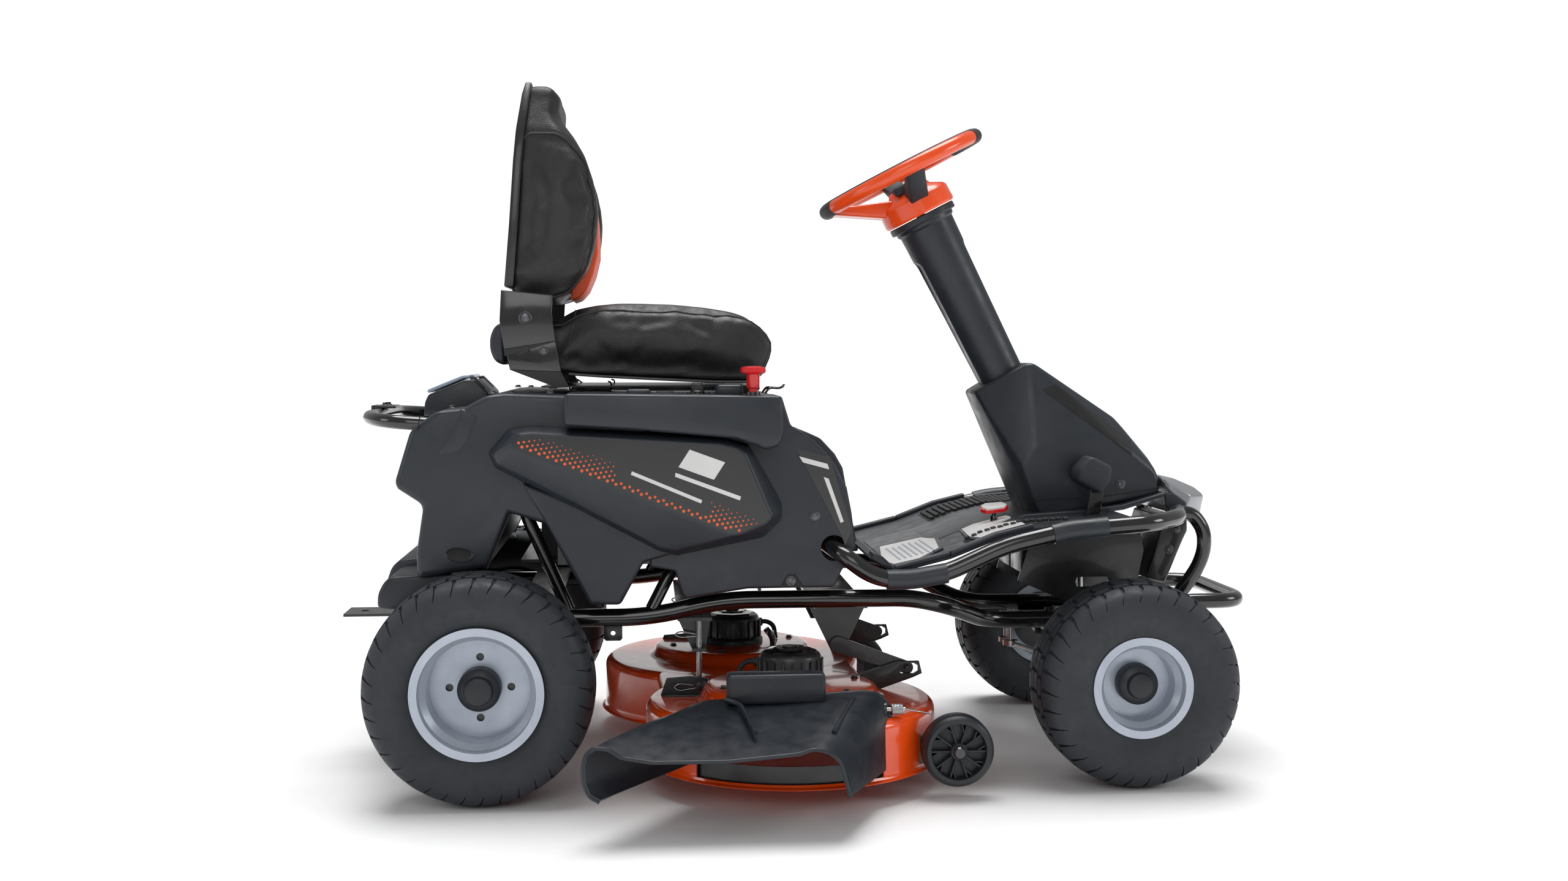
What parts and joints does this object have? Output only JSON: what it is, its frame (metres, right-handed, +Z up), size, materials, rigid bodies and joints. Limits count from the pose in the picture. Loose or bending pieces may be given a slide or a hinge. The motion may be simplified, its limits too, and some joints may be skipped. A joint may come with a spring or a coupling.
{
  "type": "riding lawn mower",
  "caption": "Electric riding mower with a tube frame, high-back seat, leaning steering column, twin-blade side-discharge deck and steered front axle.",
  "frame": {"origin": "on the ground under the middle of the machine's outer box, chute and hitch plate included", "axes": "+X forward, +Y to the driver's left, +Z up"},
  "size_m": [1.7869, 1.1776, 1.3179],
  "materials": {
    "tube": "gloss black paint",
    "plate": "semi-gloss black paint",
    "body": "fine satin moulding",
    "panel": "gloss film",
    "orange": "gloss paint",
    "wheel_orange": "gloss moulding",
    "tyre": "matt rubber",
    "rim": "satin silver paint",
    "steel": "machined",
    "motor": "painted casting",
    "battery": "moulded case",
    "vinyl": "grained vinyl",
    "red": "gloss moulding",
    "pedal": "ribbed rubber",
    "chute": "satin moulding",
    "lens": "smooth lens",
    "lid": "tinted moulding",
    "gauge": "hard moulding"
  },
  "bodies": {
    "chassis": {"lower_rail_left": "tube", "lower_rail_right": "tube", "foot_rail_left": "tube", "foot_rail_right": "tube", "front_guard": "tube", "rear_bumper": "tube", "rear_cradle": "plate", "hitch_plate": "plate", "body_struts": "tube", "battery_tray": "plate", "seat_support": "plate", "axle_carrier": "plate", "deck_hangers": "plate", "transaxle": "motor", "battery_pack": "battery", "rear_body": "body", "front_skirt": "body", "side_panels": "panel", "console_left": "body", "console_right": "body", "footplate": "body", "cowl": "body", "column_cover": "body", "headlight_lens": "lens", "front_grille": "plate"},
    "charge_flap": {"charge_lid": "lid"},
    "rear_wheel_left": {"rear_tyre_left": "tyre", "rear_rim_left": "rim", "rear_shaft_left": "steel"},
    "rear_wheel_right": {"rear_tyre_right": "tyre", "rear_rim_right": "rim", "rear_shaft_right": "steel"},
    "front_axle": {"front_axle_beam": "plate"},
    "knuckle_body_left": {"knuckle_left": "plate"},
    "knuckle_body_right": {"knuckle_right": "plate"},
    "front_wheel_left": {"front_tyre_left": "tyre", "front_rim_left": "rim"},
    "front_wheel_right": {"front_tyre_right": "tyre", "front_rim_right": "rim"},
    "tie_body_left": {"tie_rod_left": "steel"},
    "tie_body_right": {"tie_rod_right": "steel"},
    "sector": {"steering_sector": "steel"},
    "pinion": {"pinion_shaft": "steel"},
    "steering": {"steering_wheel": "wheel_orange"},
    "seat_swing": {"seat_slide_base": "plate"},
    "seat": {"seat_pan": "plate", "seat_cushion": "vinyl", "backrest": "vinyl"},
    "blade_switch": {"blade_switch_knob": "red"},
    "key": {"ignition_key": "pedal"},
    "parking_brake": {"parking_brake_lever": "red"},
    "drive_pedal_body": {"drive_pedal": "pedal"},
    "brake_pedal_body": {"brake_pedal": "pedal"},
    "deck": {"deck_shell": "orange"},
    "blade_body_left": {"blade_left": "steel"},
    "blade_body_right": {"blade_right": "steel"},
    "chute": {"discharge_chute": "chute"},
    "gauge_body_left": {"gauge_wheel_left": "gauge"},
    "gauge_body_right": {"gauge_wheel_right": "gauge"},
    "lift": {"lift_links": "plate"}
  },
  "joints": [
    {"name": "steering_turn", "type": "hinge", "parent": "chassis", "child": "steering", "pos_m": [0.2125, 0.11125, 1.152], "axis": [-0.4571, 0, 0.8894], "range_deg": [-140, 140]},
    {"name": "pinion_turn", "type": "hinge", "parent": "chassis", "child": "pinion", "pos_m": [0.58613, 0.11125, 0.3], "axis": [0, 0, 1], "range_deg": [-140, 140]},
    {"name": "sector_turn", "type": "hinge", "parent": "chassis", "child": "sector", "pos_m": [0.52613, 0.11125, 0.257], "axis": [0, 0, 1], "range_deg": [-35, 35]},
    {"name": "axle_rock", "type": "hinge", "parent": "chassis", "child": "front_axle", "pos_m": [0.5925, 0.11125, 0.202], "axis": [1, 0, 0], "range_deg": [-6, 6]},
    {"name": "knuckle_turn_left", "type": "hinge", "parent": "front_axle", "child": "knuckle_body_left", "pos_m": [0.5925, 0.35625, 0.202], "axis": [0, 0, 1], "range_deg": [-35, 35]},
    {"name": "tie_rod_turn_left", "type": "hinge", "parent": "knuckle_body_left", "child": "tie_body_left", "pos_m": [0.5075, 0.37625, 0.202], "axis": [0, 0, 1], "range_deg": [-35, 35]},
    {"name": "front_wheel_spin_left", "type": "hinge", "parent": "knuckle_body_left", "child": "front_wheel_left", "pos_m": [0.5925, 0.48225, 0.188], "axis": [0, 1, 0], "continuous": true},
    {"name": "rear_wheel_spin_left", "type": "hinge", "parent": "chassis", "child": "rear_wheel_left", "pos_m": [-0.5935, 0.50625, 0.203], "axis": [0, 1, 0], "continuous": true},
    {"name": "knuckle_turn_right", "type": "hinge", "parent": "front_axle", "child": "knuckle_body_right", "pos_m": [0.5925, -0.13375, 0.202], "axis": [0, 0, 1], "range_deg": [-35, 35]},
    {"name": "tie_rod_turn_right", "type": "hinge", "parent": "knuckle_body_right", "child": "tie_body_right", "pos_m": [0.5075, -0.15375, 0.202], "axis": [0, 0, 1], "range_deg": [-35, 35]},
    {"name": "front_wheel_spin_right", "type": "hinge", "parent": "knuckle_body_right", "child": "front_wheel_right", "pos_m": [0.5925, -0.25975, 0.188], "axis": [0, 1, 0], "continuous": true},
    {"name": "rear_wheel_spin_right", "type": "hinge", "parent": "chassis", "child": "rear_wheel_right", "pos_m": [-0.5935, -0.28375, 0.203], "axis": [0, 1, 0], "continuous": true},
    {"name": "seat_tilt", "type": "hinge", "parent": "chassis", "child": "seat_swing", "pos_m": [-0.0815, 0.11125, 0.724], "axis": [0, 1, 0], "range_deg": [0, 45]},
    {"name": "seat_slide", "type": "slide", "parent": "seat_swing", "child": "seat", "axis": [1, 0, 0], "range_m": [-0.04, 0]},
    {"name": "charge_lid_open", "type": "hinge", "parent": "chassis", "child": "charge_flap", "pos_m": [-0.6365, 0.11125, 0.746], "axis": [0, 1, 0], "range_deg": [0, 75]},
    {"name": "blade_switch_pull", "type": "slide", "parent": "chassis", "child": "blade_switch", "axis": [0, 0, 1], "range_m": [0, 0.01]},
    {"name": "key_turn", "type": "hinge", "parent": "chassis", "child": "key", "pos_m": [-0.2075, -0.21875, 0.71], "axis": [0, 0, -1], "range_deg": [0, 90]},
    {"name": "parking_brake_set", "type": "hinge", "parent": "chassis", "child": "parking_brake", "pos_m": [0.3765, -0.03875, 0.4], "axis": [0, 1, 0], "range_deg": [0, 12]},
    {"name": "drive_pedal_press", "type": "hinge", "parent": "chassis", "child": "drive_pedal_body", "pos_m": [0.5605, -0.05675, 0.452], "axis": [0, 1, 0], "range_deg": [0, 14], "stiffness_Nm_per_rad": 4, "springref_deg": -22.92},
    {"name": "brake_pedal_press", "type": "hinge", "parent": "chassis", "child": "brake_pedal_body", "pos_m": [0.5605, 0.27925, 0.452], "axis": [0, 1, 0], "range_deg": [0, 14], "stiffness_Nm_per_rad": 6, "springref_deg": -22.92},
    {"name": "deck_lift", "type": "slide", "parent": "chassis", "child": "deck", "axis": [0, 0, 1], "range_m": [0, 0.044]},
    {"name": "lift_link_turn", "type": "hinge", "parent": "chassis", "child": "lift", "pos_m": [0.0635, 0.11125, 0.236], "axis": [0, -1, 0], "range_deg": [0, 18.4]},
    {"name": "chute_flip", "type": "hinge", "parent": "deck", "child": "chute", "pos_m": [-0.0335, -0.35475, 0.165], "axis": [-1, 0, 0], "range_deg": [0, 60], "stiffness_Nm_per_rad": 0.4, "springref_deg": -28.65},
    {"name": "blade_spin_left", "type": "hinge", "parent": "deck", "child": "blade_body_left", "pos_m": [-0.1185, 0.30625, 0.062], "axis": [0, 0, 1], "continuous": true},
    {"name": "blade_spin_right", "type": "hinge", "parent": "deck", "child": "blade_body_right", "pos_m": [-0.0335, -0.15675, 0.062], "axis": [0, 0, 1], "continuous": true},
    {"name": "gauge_spin_left", "type": "hinge", "parent": "deck", "child": "gauge_body_left", "pos_m": [0.1765, 0.51125, 0.088], "axis": [0, 1, 0], "continuous": true},
    {"name": "gauge_spin_right", "type": "hinge", "parent": "deck", "child": "gauge_body_right", "pos_m": [0.2485, -0.34075, 0.088], "axis": [0, 1, 0], "continuous": true}
  ],
  "couplings": [
    {"joint": "pinion_turn", "follows": "steering_turn", "ratio": 1},
    {"joint": "sector_turn", "follows": "steering_turn", "ratio": 0.25},
    {"joint": "knuckle_turn_left", "follows": "steering_turn", "ratio": 0.25},
    {"joint": "tie_rod_turn_left", "follows": "steering_turn", "ratio": -0.25},
    {"joint": "knuckle_turn_right", "follows": "steering_turn", "ratio": 0.25},
    {"joint": "tie_rod_turn_right", "follows": "steering_turn", "ratio": -0.25},
    {"joint": "lift_link_turn", "follows": "deck_lift", "rad_per_m": 7.2449}
  ]
}
